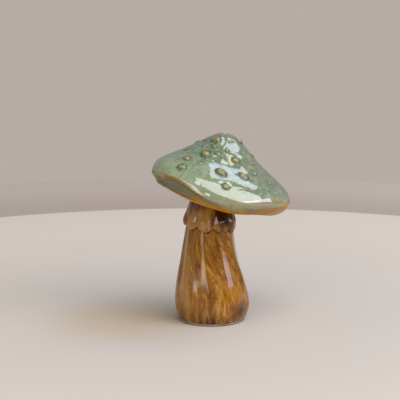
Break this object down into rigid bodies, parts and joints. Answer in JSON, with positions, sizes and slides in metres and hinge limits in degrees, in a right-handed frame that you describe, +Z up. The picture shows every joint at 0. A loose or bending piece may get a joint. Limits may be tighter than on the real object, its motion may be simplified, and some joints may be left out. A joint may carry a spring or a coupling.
{
  "type": "ceramic mushroom ornament",
  "caption": "Free-standing glazed mushroom ornament: fluted hollow stem on a bare clay foot, leaning cap with a waved lip, raised clay pellets and a scalloped skirt.",
  "frame": {"origin": "centre of the foot's resting face, on the table", "axes": "+Z up out of the cap, +X towards the low side of the leaning cap, -Y towards the viewer of the front"},
  "size_m": [0.0948, 0.0952, 0.1299],
  "materials": {
    "green_glaze": "glossy reactive glaze, sea green with teal and gold breaks",
    "amber_glaze": "glossy amber glaze",
    "brown_glaze": "glossy brown glaze brushed in upright streaks",
    "pellet_glaze": "glossy glaze breaking gold on raised clay",
    "bare_clay": "matt unglazed cream clay"
  },
  "bodies": {
    "root": {"base_disc": "bare_clay", "stem": "brown_glaze", "skirt": "brown_glaze", "slip_ring": "bare_clay", "cap_underside": "amber_glaze", "cap_shell": "green_glaze", "pellet_01": "pellet_glaze", "pellet_02": "pellet_glaze", "pellet_03": "pellet_glaze", "pellet_04": "pellet_glaze", "pellet_05": "pellet_glaze", "pellet_06": "pellet_glaze", "pellet_07": "pellet_glaze", "pellet_08": "pellet_glaze", "pellet_09": "pellet_glaze", "pellet_10": "pellet_glaze", "pellet_11": "pellet_glaze", "pellet_12": "pellet_glaze", "pellet_13": "pellet_glaze", "pellet_14": "pellet_glaze", "pellet_15": "pellet_glaze", "pellet_16": "pellet_glaze", "pellet_17": "pellet_glaze", "pellet_18": "pellet_glaze", "pellet_19": "pellet_glaze", "pellet_20": "pellet_glaze", "pellet_21": "pellet_glaze", "pellet_22": "pellet_glaze", "pellet_23": "pellet_glaze", "pellet_24": "pellet_glaze", "pellet_25": "pellet_glaze", "pellet_26": "pellet_glaze", "pellet_27": "pellet_glaze", "pellet_28": "pellet_glaze", "pellet_29": "pellet_glaze", "pellet_30": "pellet_glaze", "pellet_31": "pellet_glaze", "pellet_32": "pellet_glaze", "pellet_33": "pellet_glaze", "pellet_34": "pellet_glaze", "pellet_35": "pellet_glaze", "pellet_36": "pellet_glaze", "pellet_37": "pellet_glaze"}
  },
  "joints": []
}
